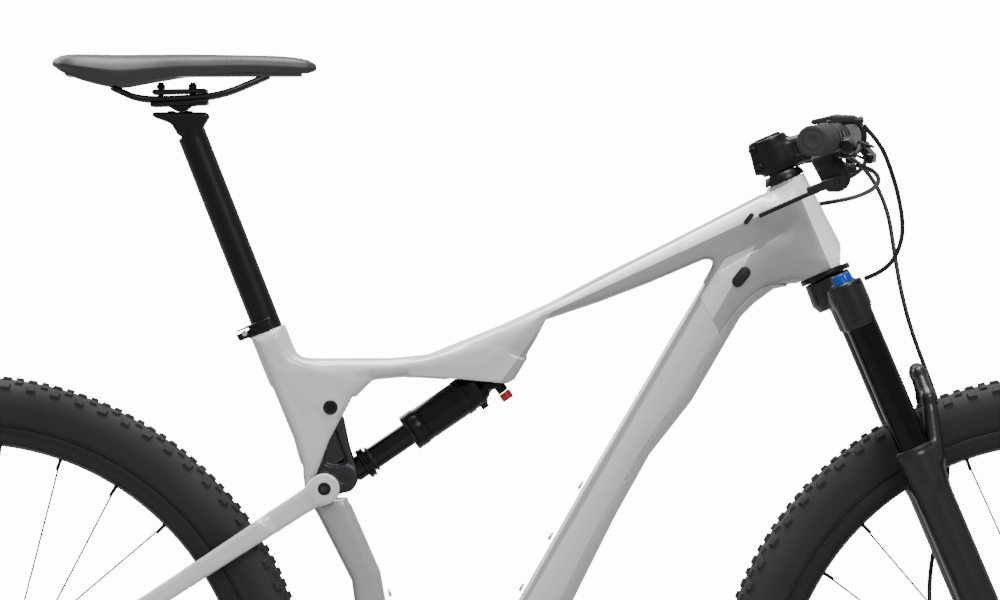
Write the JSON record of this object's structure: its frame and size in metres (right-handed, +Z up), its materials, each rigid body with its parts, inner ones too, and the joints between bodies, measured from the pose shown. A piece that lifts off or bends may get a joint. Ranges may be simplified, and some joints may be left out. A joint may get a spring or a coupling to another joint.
{
  "type": "mountain bike",
  "caption": "Full-suspension cross-country mountain bike with suspension fork, rear shock and link, disc brakes, hose routing, saddle on a fixed post and platform pedals.",
  "frame": {"origin": "on the ground, midway between the two wheel contacts, in the middle plane", "axes": "+X forward along the bike, +Y to the rider's left across it, +Z up"},
  "size_m": [1.904, 0.7442, 1.0825],
  "materials": {
    "frame_paint": "gloss paint in two greys",
    "rear_paint": "gloss light grey paint",
    "link_finish": "satin dark grey",
    "black_alloy": "black anodised, satin",
    "fork_finish": "satin black",
    "steel": "brushed steel",
    "stanchion_coat": "polished dark coating",
    "shock_can": "black anodised, satin",
    "crimson_knob": "anodised crimson",
    "blue_dial": "anodised blue",
    "rubber": "matte rubber",
    "tyre_rubber": "matte tyre rubber",
    "spoke_black": "black oxide",
    "saddle_cover": "satin synthetic leather",
    "black_plastic": "matte",
    "hose_jacket": "satin jacket"
  },
  "bodies": {
    "frame": {"frame": "frame_paint", "headset": "black_alloy", "bottom_bracket": "black_alloy", "seat_clamp": "black_alloy", "frame_pivot_bolts": "steel", "bottle_bolts": "steel", "port_plugs": "rubber"},
    "seatpost": {"seatpost": "black_alloy"},
    "saddle": {"saddle_clamp": "black_alloy", "saddle_rails": "steel", "saddle_base": "black_plastic", "saddle_pad": "saddle_cover"},
    "fork_upper": {"fork_crown": "fork_finish", "stanchions": "stanchion_coat", "stem": "black_alloy", "stem_bolts": "steel", "handlebar": "black_alloy", "grips": "rubber", "brake_bodies": "black_alloy", "control_bodies": "black_plastic", "front_brake_hose": "hose_jacket", "frame_hoses": "hose_jacket", "lockout_cable": "hose_jacket"},
    "brake_lever_left": {"brake_lever_left": "black_alloy"},
    "brake_lever_right": {"brake_lever_right": "black_alloy"},
    "shift_lever": {"shift_lever": "black_plastic"},
    "remote_lever": {"remote_lever": "black_plastic"},
    "fork_dial": {"fork_dial": "blue_dial"},
    "fork_lower": {"fork_lowers": "fork_finish", "front_axle": "steel", "front_caliper": "black_alloy"},
    "front_wheel": {"front_tyre": "tyre_rubber", "front_rim": "black_alloy", "front_spokes": "spoke_black", "front_hub": "black_alloy", "front_rotor": "steel"},
    "swingarm": {"swingarm": "rear_paint", "stay_pivot_bolts": "steel", "rear_axle": "steel", "rear_caliper": "black_alloy", "derailleur_housing": "black_alloy", "chain": "steel"},
    "rear_wheel": {"rear_tyre": "tyre_rubber", "rear_rim": "black_alloy", "rear_spokes": "spoke_black", "rear_hub": "black_alloy", "rear_rotor": "steel"},
    "cassette": {"cassette": "steel"},
    "rocker_link": {"rocker_link": "link_finish"},
    "shock_body": {"shock_body": "shock_can"},
    "shock_knob": {"shock_knob": "crimson_knob"},
    "shock_shaft": {"shock_shaft": "steel"},
    "crankset": {"crank_arms": "black_alloy", "chainring": "steel"},
    "pedal_left": {"pedal_left": "black_alloy"},
    "pedal_right": {"pedal_right": "black_alloy"},
    "derailleur_body": {"derailleur_body": "black_alloy"},
    "derailleur_cage": {"derailleur_cage": "black_alloy"},
    "guide_pulley": {"guide_pulley": "black_plastic"},
    "tension_pulley": {"tension_pulley": "black_plastic"}
  },
  "joints": [
    {"name": "steering", "type": "hinge", "parent": "frame", "child": "fork_upper", "pos_m": [0.332, 0, 0.8495], "axis": [-0.3907, 0, 0.9205], "range_deg": [-60, 60], "deforming": ["frame_hoses"]},
    {"name": "fork_travel", "type": "slide", "parent": "fork_upper", "child": "fork_lower", "axis": [-0.3907, 0, 0.9205], "range_m": [0, 0.1], "stiffness_N_per_m": 9000, "springref_m": -0.01, "deforming": ["front_brake_hose"]},
    {"name": "front_wheel_spin", "type": "hinge", "parent": "fork_lower", "child": "front_wheel", "pos_m": [0.582, 0, 0.37], "axis": [0, 1, 0], "continuous": true},
    {"name": "swingarm_pivot", "type": "hinge", "parent": "frame", "child": "swingarm", "pos_m": [-0.148, 0, 0.399], "axis": [0, 1, 0], "range_deg": [0, 13], "stiffness_Nm_per_rad": 4000, "springref_deg": -1.15, "deforming": ["chain"]},
    {"name": "link_pivot", "type": "hinge", "parent": "frame", "child": "rocker_link", "pos_m": [-0.1953, 0, 0.7048], "axis": [0, 1, 0], "range_deg": [-33.2, 0.2]},
    {"name": "shock_swing", "type": "hinge", "parent": "frame", "child": "shock_body", "pos_m": [-0.0252, 0, 0.7358], "axis": [0, 1, 0], "range_deg": [-2.9, 0.1]},
    {"name": "shock_stroke", "type": "slide", "parent": "shock_body", "child": "shock_shaft", "axis": [0.8252, 0, 0.5648], "range_m": [-0.0002, 0.0435]},
    {"name": "shock_knob_turn", "type": "hinge", "parent": "shock_body", "child": "shock_knob", "pos_m": [-0.00801, 0, 0.71727], "axis": [0.5648, 0, -0.8252], "range_deg": [0, 270]},
    {"name": "rear_wheel_spin", "type": "hinge", "parent": "swingarm", "child": "rear_wheel", "pos_m": [-0.582, 0, 0.37], "axis": [0, 1, 0], "continuous": true},
    {"name": "cassette_spin", "type": "hinge", "parent": "swingarm", "child": "cassette", "pos_m": [-0.582, 0, 0.37], "axis": [0, 1, 0], "continuous": true},
    {"name": "crank_spin", "type": "hinge", "parent": "frame", "child": "crankset", "pos_m": [-0.145, 0, 0.33], "axis": [0, 1, 0], "continuous": true},
    {"name": "pedal_left_spin", "type": "hinge", "parent": "crankset", "child": "pedal_left", "pos_m": [-0.317, 0, 0.33], "axis": [0, 1, 0], "continuous": true},
    {"name": "pedal_right_spin", "type": "hinge", "parent": "crankset", "child": "pedal_right", "pos_m": [0.027, 0, 0.33], "axis": [0, 1, 0], "continuous": true},
    {"name": "derailleur_shift", "type": "slide", "parent": "swingarm", "child": "derailleur_body", "axis": [0, 0.9292, -0.3697], "range_m": [-0.0157, 0.0275]},
    {"name": "cage_swing", "type": "hinge", "parent": "derailleur_body", "child": "derailleur_cage", "pos_m": [-0.56, 0, 0.236], "axis": [0, 1, 0], "range_deg": [-25, 20], "stiffness_Nm_per_rad": 1.5},
    {"name": "guide_pulley_spin", "type": "hinge", "parent": "derailleur_cage", "child": "guide_pulley", "pos_m": [-0.56, 0, 0.236], "axis": [0, 1, 0], "continuous": true},
    {"name": "tension_pulley_spin", "type": "hinge", "parent": "derailleur_cage", "child": "tension_pulley", "pos_m": [-0.528, 0, 0.16], "axis": [0, 1, 0], "continuous": true},
    {"name": "brake_lever_left", "type": "hinge", "parent": "fork_upper", "child": "brake_lever_left", "pos_m": [0.36868, 0.206, 0.97406], "axis": [0.3389, 0.0837, 0.9371], "range_deg": [0, 9], "stiffness_Nm_per_rad": 2, "springref_deg": -5.73},
    {"name": "brake_lever_right", "type": "hinge", "parent": "fork_upper", "child": "brake_lever_right", "pos_m": [0.36868, -0.206, 0.97406], "axis": [0.3389, -0.0837, 0.9371], "range_deg": [-9, 0], "stiffness_Nm_per_rad": 2, "springref_deg": 5.73},
    {"name": "shift_lever", "type": "hinge", "parent": "fork_upper", "child": "shift_lever", "pos_m": [0.33816, -0.18, 0.94339], "axis": [0, 1, 0], "range_deg": [0, 18], "stiffness_Nm_per_rad": 0.5, "springref_deg": -5.73},
    {"name": "remote_lever", "type": "hinge", "parent": "fork_upper", "child": "remote_lever", "pos_m": [0.34808, -0.134, 1.0093], "axis": [0, 1, 0], "range_deg": [0, 18], "stiffness_Nm_per_rad": 0.5, "springref_deg": -5.73},
    {"name": "fork_dial_turn", "type": "hinge", "parent": "fork_upper", "child": "fork_dial", "pos_m": [0.34891, -0.07, 0.84038], "axis": [-0.3907, 0, 0.9205], "range_deg": [0, 90]},
    {"name": "seatpost_height", "type": "slide", "parent": "frame", "child": "seatpost", "axis": [-0.3665, 0, 0.9304], "range_m": [0, 0.03]},
    {"name": "saddle_tilt", "type": "hinge", "parent": "seatpost", "child": "saddle", "pos_m": [-0.356, 0, 1.035], "axis": [0, 1, 0], "range_deg": [-7, 7]}
  ],
  "couplings": [
    {"joint": "link_pivot", "follows": "swingarm_pivot", "ratio": -2.525},
    {"joint": "shock_swing", "follows": "swingarm_pivot", "ratio": -0.21148},
    {"joint": "shock_stroke", "follows": "swingarm_pivot", "m_per_rad": 0.18892},
    {"joint": "cassette_spin", "follows": "crank_spin", "ratio": 1.7778},
    {"joint": "guide_pulley_spin", "follows": "crank_spin", "ratio": -2.6667},
    {"joint": "tension_pulley_spin", "follows": "crank_spin", "ratio": 2.6667}
  ]
}
